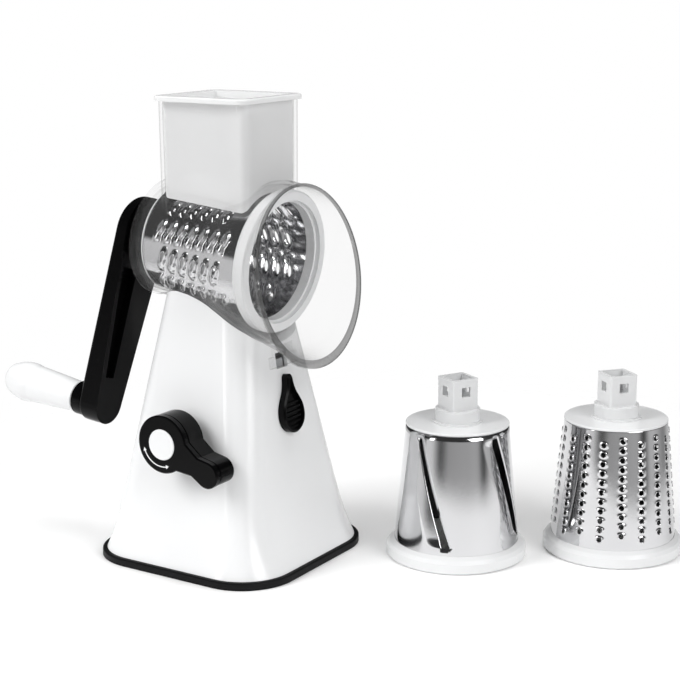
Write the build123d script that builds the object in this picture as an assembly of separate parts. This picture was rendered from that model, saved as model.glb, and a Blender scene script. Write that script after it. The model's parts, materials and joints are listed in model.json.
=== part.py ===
"""Rotary cabbage shredder: a hand cranked drum shredder on a suction base, with two spare drums.

Frame: millimetres, +Z up, origin at the centre of the base's underside, which stands on z = 0.
+X is the side of the discharge funnel, -X the crank, -Y the face with the suction lever.
The drum turns about an axis that lies in the XZ plane and dips towards the funnel.
"""
from build123d import *
from math import asin, atan, atan2, cos, degrees, hypot, pi, radians, sin, sqrt, tan
import os

# ---- base and tower ---------------------------------------------------------------------------
base_half_x = 70.0
base_half_y = 69.0
base_corner = 35.0
pad_height = 4.6            # rubber that shows under the white skirt
pad_sheet = 2.8             # thickness of the rubber sheet inside its rim
pad_rim_width = 10.0
skirt_inset = 3.0           # white skirt inside the rubber rim
skirt_top = 14.6            # height of the seam between skirt and tower
shell_wall = 2.5
tower_foot_half_x = 59.5    # straight sides of the tower, carried down to z = 0
tower_foot_half_y = 63.7
tower_corner = 18.5
tower_height = 200.0        # where the half sizes below are taken
tower_top_half_x = 30.6
tower_top_half_y = 21.9
flare_height = 36.0         # the sides curve out to the skirt below this height
floor_height = 10.5         # underside of the plate that closes the skirt
floor_thickness = 2.5
locating_lip = 3.0
lip_wall = 1.5
fit_gap = 0.3               # between pieces that are put together and don't slide

# ---- suction: membrane, stem, cam, axle and lever ----------------------------------------------
membrane_radius = 34.0
membrane_thickness = 2.2
membrane_lift = 4.6         # how far its centre is drawn up when locked
stem_foot_radius = 9.0
stem_foot_thickness = 2.5
stem_radius = 5.0
stem_bore_gap = 0.07
guide_wall = 3.0
guide_height = 24.0
stem_travel = 4.0
axle_height = 85.3
axle_radius = 6.0
axle_bore_gap = 0.07
axle_boss_wall = 3.2
axle_boss_depth = 8.0
cam_width = 8.0
cam_low = 8.6
cam_gap = 0.4
yoke_bar = 4.6
yoke_side_gap = 1.6
knob_radius = 18.2
knob_front = 70.0           # distance of the lever's front face from the middle plane
knob_boss_gap = 1.4         # boss to the sloping face of the tower
lever_plate = 4.0
lever_groove = 1.2
lever_depth = 17.8
lever_reach = 36.5
lever_angle = -23.4         # below horizontal, seen from the front
lever_end_radius = 8.3
lever_waist_radius = 6.4
lever_waist_reach = 26.0
lever_turn = 90.0
cap_radius = 9.7
cap_thickness = 2.0
cap_proud = 0.5

# ---- drum axis ----------------------------------------------------------------------------------
axis_height = 195.7
axis_dip = 5.65

# ---- clear housing, places along the axis from the tower's middle -------------------------------
housing_wall = 2.2
barrel_back = -47.5
barrel_back_wall = 2.5
barrel_radius = 36.6
barrel_swell_at = -18.0
barrel_swell_radius = 37.6
flare_mid_at = 8.0
flare_mid_radius = 41.2
flare_end_at = 30.0
flare_end_radius = 48.4
ring_house_at = 38.0
ring_house_radius = 49.8
funnel_at = 64.1
funnel_drop = 4.9
funnel_radius = 55.2
funnel_lean = 14.7
funnel_lip = 1.3
funnel_lip_width = 2.6
back_flange_proud = 1.2
back_flange_width = 2.4
hopper_centre_x = 3.55
hopper_half_x = 34.2
hopper_half_y = 30.0
hopper_corner = 6.8
hopper_top = 288.6
hopper_draft = 0.5
ledge_angle = 55.5          # side ledges along the barrel, from its top
ledge_width = 1.8
ledge_proud = 1.0
tongue_foot_half = 14.0
tongue_foot_height = 7.0
tongue_stem_half = 10.0
tongue_thickness = 2.4
tongue_low = 126.0
hook_half = 9.0
hook_low = 150.0

# ---- food pusher ---------------------------------------------------------------------------------
pusher_gap = 0.6
pusher_wall = 2.0
pusher_floor = 2.4
pusher_drum_gap = 3.4
pusher_rim_half_x = 35.8
pusher_rim_half_y = 33.1
pusher_rim_thickness = 3.2
pusher_rim_corner = 8.2

# ---- drums, heights from the mouth ring ------------------------------------------------------------
drum_seat = 45.0            # where the mouth of the fitted drum lies along the axis
drum_length = 87.3
drum_wall = 0.9
cone_mouth_radius = 40.3
cone_end_radius = 32.7
cone_start = 3.5
ring_radius = 44.6
ring_shoulder = 6.5
ring_height = 10.5
ring_bore = 38.4
ring_bore_height = 3.2
ring_throat = 36.9
end_plate_radius = 32.9
end_plate_thickness = 1.3
end_spigot = 3.5
end_spigot_wall = 2.0
drum_boss_radius = 14.2
drum_boss_height = 8.5
drum_flange_radius = 16.0
drum_flange_height = 1.0
stub_half = 9.35
stub_height = 20.0
stub_wall = 1.9
stub_window = 6.2
stub_window_from_tip = 5.0
coarse_rows = 12
coarse_row_count = 7
coarse_pitch = 8.6
coarse_hole_width = 3.6
coarse_hole_length = 7.4
coarse_hole_slant = -19.0
coarse_hole_offset = 2.4
coarse_hole_sides = 8
coarse_first = 21.8
coarse_phase = 109.3
fine_columns = 18
fine_column_count = 11
fine_pitch = 6.0
fine_hole = 3.6
fine_first = 17.0
slot_count = 4
slot_width = 3.4
slot_low = 15.0
slot_high = 82.0
slot_twist = 36.0
slot_phase = -60.5
bushing_wall = 3.2
bushing_flange = 2.6
bushing_flange_thickness = 1.0
bushing_bore_gap = 0.07

# ---- crank ----------------------------------------------------------------------------------------
arm_inner = -63.6
arm_outer_hub = -73.0
arm_outer_end = -79.7
arm_length = 116.0
arm_hub_radius = 21.7
arm_end_radius = 12.5
arm_rest_angle = 15.5       # from straight down, towards the lever face
arm_edge = 3.0
hub_boss_radius = 16.5
hub_dome_radius = 12.5
hub_dome_outer = -76.6
groove_start = 26.0
groove_end = 98.0
groove_wide = 15.0
groove_narrow = 8.0
groove_depth = 5.6
groove_edge = 3.4
socket_gap = 0.25
plug_gap = 0.25
plug_tip = 3.0
collar_radius = 11.0
collar_length = 8.0
pin_radius = 3.5
pin_bore_gap = 0.07
pin_head_radius = 5.6
pin_head_thickness = 3.0
grip_start_radius = 10.2
grip_end_radius = 12.4
grip_length = 38.0
grip_cap_length = 24.0
grip_cap_radius = 13.2
grip_gap = 0.3

# ---- housing latch on the funnel side ---------------------------------------------------------------
latch_low = 83.6            # heights on the tower's sloping face
latch_high = 120.5
latch_wide_half = 11.3
latch_waist_half = 4.6
latch_waist_from_top = 10.0
latch_tip_half = 2.7
latch_thickness = 5.0
latch_rim = 2.2
latch_ribs = 6
latch_travel = 6.0
latch_neck_half = 3.0
latch_neck_low = 98.0
latch_neck_height = 8.0
latch_plate = 2.0
latch_wall_gap = 0.4
latch_overlap = 4.0
window_half = 6.0
spring_radius = 3.2
spring_wire = 0.55
spring_turns = 5

# ---- fasteners ----------------------------------------------------------------------------------------
screw_place = 42.0
screw_shank = 1.6
screw_head = 3.4
screw_head_height = 2.0
screw_length = 17.0
screw_bore_gap = 0.1
screw_boss_radius = 4.6
screw_boss_top = 64.0

# ---- spare drums standing beside the machine ------------------------------------------------------------
slicer_place = (129.7, 66.9)
slicer_turn = -28.5
fine_place = (210.9, 129.3)
fine_turn = -39.0

# ---- frames -----------------------------------------------------------------------------------------------
dip = radians(axis_dip)
drum_plane = Plane(
    origin=(0, 0, axis_height), x_dir=(sin(dip), 0, cos(dip)), z_dir=(cos(dip), 0, -sin(dip))
)
slope_x = (tower_foot_half_x - tower_top_half_x) / tower_height
slope_y = (tower_foot_half_y - tower_top_half_y) / tower_height
face_angle = atan(slope_x)
latch_plane = Plane(
    origin=(tower_foot_half_x, 0, 0), x_dir=(0, 1, 0), z_dir=(cos(face_angle), 0, sin(face_angle))
)


def on_axis(shape):
    """Places a shape drawn about +Z, with local x upwards, on the drum's axis."""
    return drum_plane.location * shape


def on_latch_face(shape):
    """Places a shape drawn with x sideways, y up the face and z outwards on the funnel-side face."""
    return latch_plane.location * shape


def up_face(height):
    """Distance up the funnel-side face at which its surface reaches a height."""
    return height / cos(face_angle)


def tower_half(z):
    return tower_foot_half_x - slope_x * z, tower_foot_half_y - slope_y * z


def shell_section(z, inset=0.0):
    """Outline of the white casing at a height, drawn in by an inset."""
    half_x, half_y = tower_half(z)
    corner = tower_corner
    if z < flare_height:
        share = ((flare_height - z) / (flare_height - pad_height)) ** 2
        foot_x, foot_y = tower_half(pad_height)
        half_x += share * (base_half_x - skirt_inset - foot_x)
        half_y += share * (base_half_y - skirt_inset - foot_y)
        corner += share * (base_corner - skirt_inset - tower_corner)
    outline = RectangleRounded(2 * (half_x - inset), 2 * (half_y - inset), corner - inset)
    return Plane.XY.offset(z) * outline


def shell_block(low, high, inset=0.0):
    """Solid block inside the casing's outline between two heights."""
    if low >= flare_height:
        return loft([shell_section(low, inset), shell_section(high, inset)], ruled=True)
    steps = 4
    top = min(high, flare_height)
    levels = [low + (top - low) * i / steps for i in range(steps + 1)]
    block = loft([shell_section(z, inset) for z in levels])
    if high > flare_height:
        block += shell_block(flare_height, high, inset)
    return block


def tube(outer, inner, low, high):
    return Pos(0, 0, low) * extrude(Circle(outer) - Circle(inner), high - low)


def disc(radius, low, high):
    return Pos(0, 0, low) * extrude(Circle(radius), high - low)


def turned(points):
    """Solid of revolution about Z from (radius, height) points."""
    outline = Polyline(*[(r, 0, z) for r, z in points], close=True)
    return revolve(make_face(outline), Axis.Z)


# ---- rubber foot ------------------------------------------------------------------------------------
def suction_pad():
    outer = extrude(RectangleRounded(2 * base_half_x, 2 * base_half_y, base_corner), pad_height)
    outer = fillet(outer.edges().group_by(Axis.Z)[-1], 1.2)
    rim_x, rim_y = base_half_x - pad_rim_width, base_half_y - pad_rim_width
    pocket = extrude(
        RectangleRounded(2 * rim_x, 2 * rim_y, base_corner - pad_rim_width), pad_height - pad_sheet
    )
    return outer - pocket - disc(membrane_radius, 0, pad_height)


def suction_membrane():
    low = pad_height - pad_sheet
    hub = stem_foot_radius + 0.2
    knee = hub + 4
    top = pad_height + membrane_lift
    points = [
        (membrane_radius - 0.1, low), (membrane_radius - 0.1, pad_height),
        (membrane_radius - 6, pad_height), (knee, top), (hub, top),
        (hub, top - stem_foot_thickness), (knee, top - membrane_thickness), (membrane_radius - 6, low),
    ]
    return turned(points)


# ---- white casing -------------------------------------------------------------------------------------
def screw_spots():
    return [(sx * screw_place, sy * screw_place) for sx in (-1, 1) for sy in (-1, 1)]


def base_skirt():
    """Lower ring of the casing with its floor plate, stem guide and the ring that clamps the rubber."""
    wall = shell_block(pad_height, skirt_top)
    wall -= shell_block(pad_height, skirt_top, shell_wall)
    plate = shell_block(floor_height, floor_height + floor_thickness, shell_wall)
    lip_low, lip_high = floor_height, skirt_top + locating_lip
    lip = shell_block(lip_low, lip_high, shell_wall)
    lip -= shell_block(lip_low, lip_high, shell_wall + lip_wall)
    lip -= shell_block(skirt_top, lip_high, 0) - shell_block(skirt_top, lip_high, shell_wall + fit_gap)
    clamp = tube(membrane_radius + 3, membrane_radius - 1, pad_height, floor_height)
    guide_outer = stem_radius + stem_bore_gap + guide_wall
    guide = disc(guide_outer, floor_height, floor_height + guide_height)
    skirt = wall + plate + lip + clamp + guide
    skirt -= disc(stem_radius + stem_bore_gap, 0, floor_height + guide_height + 1)
    for x, y in screw_spots():
        skirt -= Pos(x, y, 0) * disc(screw_shank + screw_bore_gap, 0, skirt_top)
    return skirt


def saddle(gap):
    """Room under the clear housing: its barrel and funnel, grown by a gap and run on behind."""
    return on_axis(barrel_solid(-gap, barrel_back - 20) + funnel_solid(-gap))


def tower_shell():
    base = skirt_top
    outer = shell_block(base, tower_height) - saddle(fit_gap)
    inner = shell_block(base - 1, tower_height, shell_wall) - saddle(fit_gap + shell_wall)
    shell = outer - inner
    boss_low = floor_height + floor_thickness + fit_gap
    for x, y in screw_spots():
        boss = Pos(x, y, 0) * disc(screw_boss_radius, boss_low, screw_boss_top)
        shell += boss & shell_block(skirt_top - 2, screw_boss_top, shell_wall / 2)
        shell -= Pos(x, y, 0) * disc(screw_shank + screw_bore_gap, boss_low, boss_low + screw_length)
    _, face_y = tower_half(axle_height)
    wall_y = face_y - shell_wall
    boss_radius = axle_radius + axle_bore_gap + axle_boss_wall
    along_y = Plane(origin=(0, 0, axle_height), x_dir=(1, 0, 0), z_dir=(0, 1, 0))
    bosses = along_y.location * disc(boss_radius, -face_y, -wall_y + axle_boss_depth)
    bosses += along_y.location * disc(boss_radius, wall_y - axle_boss_depth, face_y)
    shell += bosses & shell_block(skirt_top, tower_height, shell_wall / 2)
    bore = disc(axle_radius + axle_bore_gap, -face_y - 10, wall_y - 0.5)
    shell -= along_y.location * bore
    slot_low = up_face(latch_neck_low) - latch_travel - 0.6
    slot_high = up_face(latch_neck_low) + latch_neck_height + 0.6
    shell -= face_window(latch_neck_half + 0.3, slot_low, slot_high)
    shell -= face_window(window_half, up_face(tongue_low) - 1.5, up_face(tongue_low) + 8.5)
    shell += on_latch_face(spring_shelf())
    return shell


def face_window(half, low, high):
    """Rectangular cut through the funnel-side wall, between two distances up the face."""
    window = Pos(0, (low + high) / 2, -shell_wall) * Box(2 * half, high - low, 4 * shell_wall)
    return on_latch_face(window)


def spring_shelf():
    """Shelf inside the funnel-side wall that the latch spring stands on."""
    low = up_face(latch_neck_low) - latch_travel - 14
    depth = 10.0
    return Pos(0, low - 1, -shell_wall - depth / 2 + 0.5) * Box(12, 2, depth + 1)


def base_screws():
    head_low = floor_height - screw_head_height
    screws = []
    for x, y in screw_spots():
        screw = disc(screw_head, head_low, floor_height)
        screw += disc(screw_shank, floor_height, floor_height + screw_length)
        screws.append(Pos(x, y, 0) * screw)
    return Compound(children=screws)


# ---- lock lever and its works ----------------------------------------------------------------------------
front_plane = Plane(origin=(0, 0, axle_height), x_dir=(1, 0, 0), z_dir=(0, -1, 0))


def in_front(shape):
    """Places a shape drawn about +Z, with x to the right, so that +Z points out of the lever face."""
    return front_plane.location * shape


def lever_outline(inset=0.0):
    """Outline of the lever from the front: disc, waist and round paddle."""
    turn = radians(lever_angle)

    def spot(reach, radius):
        return Pos(reach * cos(turn), reach * sin(turn)) * Circle(radius - inset)

    disc_face = Circle(knob_radius - inset)
    waist = spot(lever_waist_reach, lever_waist_radius)
    paddle = spot(lever_reach - 0.5, lever_end_radius)
    root = spot(lever_waist_reach * 0.35, knob_radius * 0.62)
    arm = make_hull((root + waist).edges()) + make_hull((waist + paddle).edges())
    return disc_face + arm + paddle


def lock_lever():
    back = knob_front - lever_depth
    _, face_y = tower_half(axle_height - knob_radius)
    front = Pos(0, 0, knob_front - lever_plate) * extrude(lever_outline(), lever_plate)
    front = chamfer(front.faces().sort_by(Axis.Z)[-1].edges(), 0.8)
    groove = Pos(0, 0, knob_front - lever_plate - lever_groove) * extrude(
        lever_outline(0.9), lever_groove
    )
    rear_depth = lever_depth - lever_plate - lever_groove
    rear = Pos(0, 0, back) * extrude(lever_outline(0.2), rear_depth)
    boss = disc(knob_radius - 0.5, face_y + knob_boss_gap, back)
    body = front + groove + rear + boss
    body -= disc(axle_radius + 0.05, 0, knob_front - 6)
    body -= disc(cap_radius + 0.1, knob_front - cap_thickness, knob_front + 1)
    body -= disc(screw_shank + screw_bore_gap, 0, knob_front + 1)
    body -= disc(screw_head + 0.3, knob_front - cap_thickness - 2.3, knob_front)
    return in_front(body)


def lever_cap():
    dome = disc(cap_radius, knob_front - cap_thickness, knob_front + cap_proud)
    dome = fillet(dome.edges().sort_by(Axis.Z)[-1], 0.8)
    return in_front(dome)


def lever_screw():
    head_base = knob_front - cap_thickness - 2.2
    screw = disc(screw_head, head_base, knob_front - cap_thickness - 0.2)
    screw += disc(screw_shank, head_base - 12, head_base)
    return in_front(screw)


def lock_axle():
    _, face_y = tower_half(axle_height)
    rear_end = -(face_y - shell_wall - 0.8)
    axle = disc(axle_radius, rear_end, knob_front - 6.05)
    axle -= disc(screw_shank + 0.02, knob_front - 20, knob_front)
    clip_at = face_y - shell_wall - axle_boss_depth - 0.3 - 1.0
    axle -= tube(axle_radius + 1, axle_radius - 0.8, clip_at - 0.05, clip_at + 1.05)
    return in_front(axle)


def axle_clip():
    _, face_y = tower_half(axle_height)
    clip_at = face_y - shell_wall - axle_boss_depth - 0.3 - 1.0
    clip = tube(axle_radius + 2.6, axle_radius - 0.75, clip_at, clip_at + 1.0)
    mouth = Pos(-(axle_radius + 2), 0, clip_at) * Box(axle_radius + 4, 7, 4)
    return in_front(clip - mouth)


def lock_cam():
    """Snail cam: its radius falls evenly by the stem's travel over the lever's turn."""
    high = cam_low + stem_travel
    steps = 6
    snail = []
    for i in range(steps + 1):
        share = i / steps
        turn = radians(90 - share * lever_turn)
        reach = high - share * stem_travel
        snail.append((reach * cos(turn), reach * sin(turn)))
    rise = Spline(*snail)
    first, last = snail[0], snail[-1]
    half_back = cam_low + 0.2
    low_arc = ThreePointArc(last, (0, -half_back), (-half_back, 0))
    back = ThreePointArc((-half_back, 0), (-half_back * 0.92, half_back * 0.92), first)
    face = make_face([rise, low_arc, back])
    cam = Pos(0, 0, -cam_width / 2) * extrude(face, cam_width)
    return in_front(cam - disc(axle_radius + 0.05, -cam_width, cam_width))


def pull_stem():
    """Stem that draws the membrane up: foot disc, rod and the yoke that rides on the cam."""
    foot_top = pad_height + membrane_lift
    foot = disc(stem_foot_radius, foot_top - stem_foot_thickness, foot_top)
    cam_high = cam_low + stem_travel
    bar_low = axle_height + cam_high + cam_gap
    inside_half = cam_high + yoke_side_gap
    sill = axle_height - cam_high - stem_travel + 1.2
    rod = disc(stem_radius, foot_top, sill - 2)
    frame_low, frame_high = sill - yoke_bar, bar_low + yoke_bar
    middle = (frame_low + frame_high) / 2
    frame = Pos(0, 0, middle) * Box(
        2 * (inside_half + yoke_bar), cam_width, frame_high - frame_low
    )
    frame = fillet(frame.edges().filter_by(Axis.Y), 3.0)
    opening = Pos(0, 0, (sill + bar_low) / 2) * Box(2 * inside_half, 2 * cam_width, bar_low - sill)
    return foot + rod + (frame - opening)


# ---- clear housing -------------------------------------------------------------------------------------
def barrel_profile():
    """Outside of the barrel as (radius, place along the axis)."""
    return [
        (barrel_radius, barrel_back), (barrel_swell_radius, barrel_swell_at),
        (flare_mid_radius, flare_mid_at), (flare_end_radius, flare_end_at),
        (ring_house_radius, ring_house_at),
    ]


def barrel_solid(inset, low):
    """Barrel as a solid of revolution with a smooth flare, drawn in by an inset."""
    pts = [(radius - inset, at) for radius, at in barrel_profile()]
    pts[0] = (pts[0][0], low)
    straight = Line((pts[0][0], 0, pts[0][1]), (pts[1][0], 0, pts[1][1]))
    lead = Vector(pts[1][0] - pts[0][0], 0, pts[1][1] - pts[0][1]).normalized()
    curve = Spline(*[(r, 0, z) for r, z in pts[1:]], tangents=[lead, Vector(0.14, 0, 1).normalized()])
    end = pts[-1]
    close = Polyline((end[0], 0, end[1]), (0, 0, end[1]), (0, 0, low), (pts[0][0], 0, low))
    return revolve(make_face([straight, curve, close]), Axis.Z)


def rim_plane(back=0.0):
    """Plane of the funnel's rim, in the frame of the drum's axis."""
    lean = radians(funnel_lean)
    normal = (sin(lean), 0, cos(lean))
    return Plane(
        origin=(-funnel_drop - back * normal[0], 0, funnel_at - back * normal[2]),
        x_dir=(cos(lean), 0, -sin(lean)), z_dir=normal,
    )


def funnel_solid(inset, over=0.0):
    """Funnel between the ring housing and its leaning rim."""
    start = Plane.XY.offset(ring_house_at) * Circle(ring_house_radius - inset)
    end = rim_plane(-over) * Circle(funnel_radius - inset + over * 0.16)
    return loft([start, end])


def hopper_block(inset, low, high):
    def section(z):
        draft = hopper_draft * (hopper_top - z) / (hopper_top - axis_height)
        size = RectangleRounded(
            2 * (hopper_half_x - draft - inset), 2 * (hopper_half_y - draft - inset),
            hopper_corner - inset,
        )
        return Plane((hopper_centre_x, 0, z)) * size

    return loft([section(low), section(high)], ruled=True)


def housing():
    outside = on_axis(barrel_solid(0, barrel_back) + funnel_solid(0))
    outside += hopper_block(0, axis_height, hopper_top)
    flange = disc(barrel_radius + back_flange_proud, barrel_back, barrel_back + back_flange_width)
    lip = rim_plane(0) * Circle(funnel_radius + funnel_lip)
    lip = extrude(lip, -funnel_lip_width)
    outside += on_axis(flange + lip)
    outside += side_ledges()
    outside += tongue() + rear_hook()
    inside = barrel_solid(housing_wall, barrel_back + barrel_back_wall)
    inside += funnel_solid(housing_wall, 4.0)
    shell = outside - on_axis(inside)
    shell -= hopper_block(housing_wall, axis_height, hopper_top + 1)
    bore = drum_boss_radius + bushing_bore_gap + bushing_wall
    return shell - on_axis(disc(bore, barrel_back - 1, barrel_back + 10))


def side_ledges():
    length = flare_end_at - barrel_back - 4
    ledge = Box(barrel_radius + ledge_proud, ledge_width, length)
    ledge = Pos((barrel_radius + ledge_proud) / 2, 0, barrel_back + length / 2) * ledge
    pair = Rot(0, 0, ledge_angle) * ledge + Rot(0, 0, -ledge_angle) * ledge
    return on_axis(pair)


def tongue():
    """Tab on the funnel side that reaches down the tower's face, with a hook behind it."""
    low = up_face(tongue_low)
    high = up_face(axis_height - ring_house_radius) + 6
    foot = Pos(0, low + tongue_foot_height / 2, 0) * Box(
        2 * tongue_foot_half, tongue_foot_height, tongue_thickness
    )
    stem = Pos(0, (low + high) / 2, 0) * Box(2 * tongue_stem_half, high - low, tongue_thickness)
    plate = Pos(0, 0, fit_gap + tongue_thickness / 2) * (foot + stem)
    reach = shell_wall + latch_wall_gap + latch_plate + 0.5
    hook_top = low + 7.5
    bar = Pos(0, hook_top - 1, -reach / 2 - 0.5) * Box(2 * window_half - 1.5, 2, reach + 3)
    lip = Pos(0, hook_top - 3.8, -reach - 1) * Box(2 * window_half - 1.5, 7.6, 2)
    return on_latch_face(plate + bar + lip)


def rear_hook():
    """Short tab on the crank side that hugs the tower's rear face."""
    plane = Plane(
        origin=(-tower_foot_half_x, 0, 0), x_dir=(0, -1, 0),
        z_dir=(-cos(face_angle), 0, sin(face_angle)),
    )
    low, high = up_face(hook_low), up_face(axis_height - barrel_radius) + 8
    tab = Pos(0, (low + high) / 2, fit_gap + tongue_thickness / 2) * Box(
        2 * hook_half, high - low, tongue_thickness
    )
    return plane.location * tab


def rear_bushing():
    bore = drum_boss_radius + bushing_bore_gap
    outer = bore + bushing_wall
    inner_face = barrel_back + barrel_back_wall
    sleeve = tube(outer - 0.03, bore, barrel_back - 0.6, inner_face + bushing_flange_thickness)
    flange = tube(outer + bushing_flange, bore, inner_face + 0.02, inner_face + bushing_flange_thickness)
    return on_axis(sleeve + flange)


def food_pusher():
    side_inset = housing_wall + pusher_gap
    arch = cone_mouth_radius + pusher_drum_gap - 2.6
    low = axis_height + 8
    seat = hopper_top + fit_gap
    body = hopper_block(side_inset, low, seat) - on_axis(disc(arch, -90, 90))
    top = seat + pusher_rim_thickness
    rim = Pos(hopper_centre_x, 0, seat) * extrude(
        RectangleRounded(2 * pusher_rim_half_x, 2 * pusher_rim_half_y, pusher_rim_corner),
        pusher_rim_thickness,
    )
    rim = fillet(rim.edges().group_by(Axis.Z)[-1], 1.2)
    hollow = hopper_block(side_inset + pusher_wall, low, top + 1)
    hollow -= on_axis(disc(arch + pusher_floor, -90, 90))
    return body + rim - hollow


# ---- drums, drawn standing on their mouth ring --------------------------------------------------------
def cone_radius(height):
    share = (height - cone_start) / (drum_length - end_plate_thickness - cone_start)
    return cone_mouth_radius - share * (cone_mouth_radius - cone_end_radius)


def plain_cone(sector=360):
    """Steel cone, or the part of it that lies within half a sector either side of +X."""
    top = drum_length - end_plate_thickness
    points = [
        (cone_radius(cone_start), 0, cone_start), (cone_radius(top), 0, top),
        (cone_radius(top) - drum_wall, 0, top), (cone_radius(cone_start) - drum_wall, 0, cone_start),
    ]
    outline = make_face(Polyline(*points, close=True))
    return Rot(0, 0, -sector / 2) * revolve(outline, Axis.Z, sector)


def cone_of(sector, count, turn):
    """Whole cone made of equal pierced sectors."""
    first, *others = [Rot(0, 0, turn + i * 360 / count) * sector for i in range(count)]
    return first.fuse(*others).fix()


def radial_cutter(face, height, turn):
    """Prism along a radius of the drum through its wall at a height."""
    outwards = Plane(origin=(0, 0, height), x_dir=(0, 1, 0), z_dir=(1, 0, 0))
    prism = outwards.location * extrude(face, cone_mouth_radius + 5)
    return Rot(0, 0, turn) * prism


def pierced_sector(hole, rows, pitch, first, count, shorter):
    """Sector with two neighbouring rows of holes, the second set half a pitch along."""
    step = 360 / rows
    cutters = []
    for row in range(2):
        for i in range(count - row * shorter):
            height = first + (i + row / 2) * pitch
            cutters.append(radial_cutter(hole, height, (row - 0.5) * step))
    return plain_cone(2 * step) - cutters


def coarse_hole():
    """Long hole with straight sides, slanted along the row and set to one side of its tooth."""
    corners = []
    for i in range(coarse_hole_sides):
        turn = 2 * pi * (i + 0.5) / coarse_hole_sides
        corners.append((coarse_hole_length / 2 * cos(turn), coarse_hole_width / 2 * sin(turn)))
    face = make_face(Polyline(*corners, close=True))
    return Rot(0, 0, coarse_hole_slant) * Pos(coarse_hole_offset, 0) * face


def coarse_cone():
    hole = coarse_hole()
    sector = pierced_sector(
        hole, coarse_rows, coarse_pitch, coarse_first, coarse_row_count, 1
    )
    return cone_of(sector, coarse_rows // 2, coarse_phase + 180 / coarse_rows)


def fine_cone():
    hole = RegularPolygon(fine_hole / 2, 6)
    sector = pierced_sector(hole, fine_columns, fine_pitch, fine_first, fine_column_count, 0)
    return cone_of(sector, fine_columns // 2, 0)


def slicer_cone():
    """Cone with slanting slots, each cut square to the wall along its own run."""
    cone = plain_cone()
    run = slot_high - slot_low
    middle = (slot_high + slot_low) / 2
    sideways = 2 * pi * cone_radius(middle) * slot_twist / 360
    lean = degrees(atan(sideways / run))
    slot = Rot(0, 0, lean) * SlotOverall(hypot(run, sideways), slot_width, rotation=90)
    cutters = []
    for i in range(slot_count):
        cutters.append(radial_cutter(slot, middle, slot_phase + i * 360 / slot_count))
    return cone - cutters


def drum_ring():
    """White mouth ring with a groove that takes the cone's edge."""
    groove_out = cone_radius(cone_start) + 0.15
    points = [
        (ring_throat, 0), (ring_radius - 1, 0), (ring_radius, 1), (ring_radius, ring_shoulder),
        (ring_radius - 1.6, ring_shoulder + 2.2), (cone_radius(ring_height) + 0.1, ring_height),
        (groove_out, cone_start), (cone_radius(cone_start) - drum_wall - 0.15, cone_start),
        (cone_radius(ring_height) - drum_wall - 0.15, ring_height - 1),
        (ring_throat, ring_height - 1),
    ]
    ring = turned(points)
    return ring - disc(ring_bore, 0, ring_bore_height)


def drum_end():
    """White end plate with its round boss and the hollow square stub that the crank drives."""
    plate_low = drum_length - end_plate_thickness
    plate = disc(end_plate_radius, plate_low, drum_length)
    plate = fillet(plate.edges().sort_by(Axis.Z)[-1], 0.9)
    spigot_radius = cone_radius(plate_low) - drum_wall - 0.15
    plate += tube(spigot_radius - 0.2, spigot_radius - end_spigot_wall, plate_low - end_spigot, plate_low)
    plate += disc(drum_flange_radius, drum_length, drum_length + drum_flange_height)
    boss_top = drum_length + drum_boss_height
    plate += disc(drum_boss_radius, drum_length, boss_top)
    tip = boss_top + stub_height
    stub = Pos(0, 0, (boss_top + tip) / 2) * Box(2 * stub_half, 2 * stub_half, stub_height)
    stub = fillet(stub.edges().filter_by(Axis.Z), 1.2)
    hollow_half = stub_half - stub_wall
    hollow_low = drum_length - 0.0
    hollow = Pos(0, 0, (hollow_low + tip) / 2 + 1) * Box(
        2 * hollow_half, 2 * hollow_half, tip - hollow_low + 2
    )
    window_at = tip - stub_window_from_tip - stub_window / 2
    window = Pos(0, 0, window_at) * Box(stub_window, 4 * stub_half, stub_window)
    window += Pos(0, 0, window_at) * Box(4 * stub_half, stub_window, stub_window)
    return plate + stub - hollow - window


def fitted(shape):
    """Places a drum piece in the machine: mouth at its seat, end plate towards the crank."""
    return on_axis(Pos(0, 0, drum_seat) * Rot(0, 180, 0) * shape)


def beside(shape, place, turn):
    return Pos(place[0], place[1], 0) * Rot(0, 0, turn) * shape


# ---- crank -------------------------------------------------------------------------------------------------
def on_arm(shape):
    """Places a shape drawn with -x down the arm and z along the axis, at the crank's rest angle."""
    return on_axis(Rot(0, 0, -arm_rest_angle) * shape)


def arm_outline(inset=0.0):
    hub = Circle(arm_hub_radius - inset)
    end = Pos(-arm_length, 0) * Circle(arm_end_radius - inset)
    return make_hull((hub + end).edges())


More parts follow.
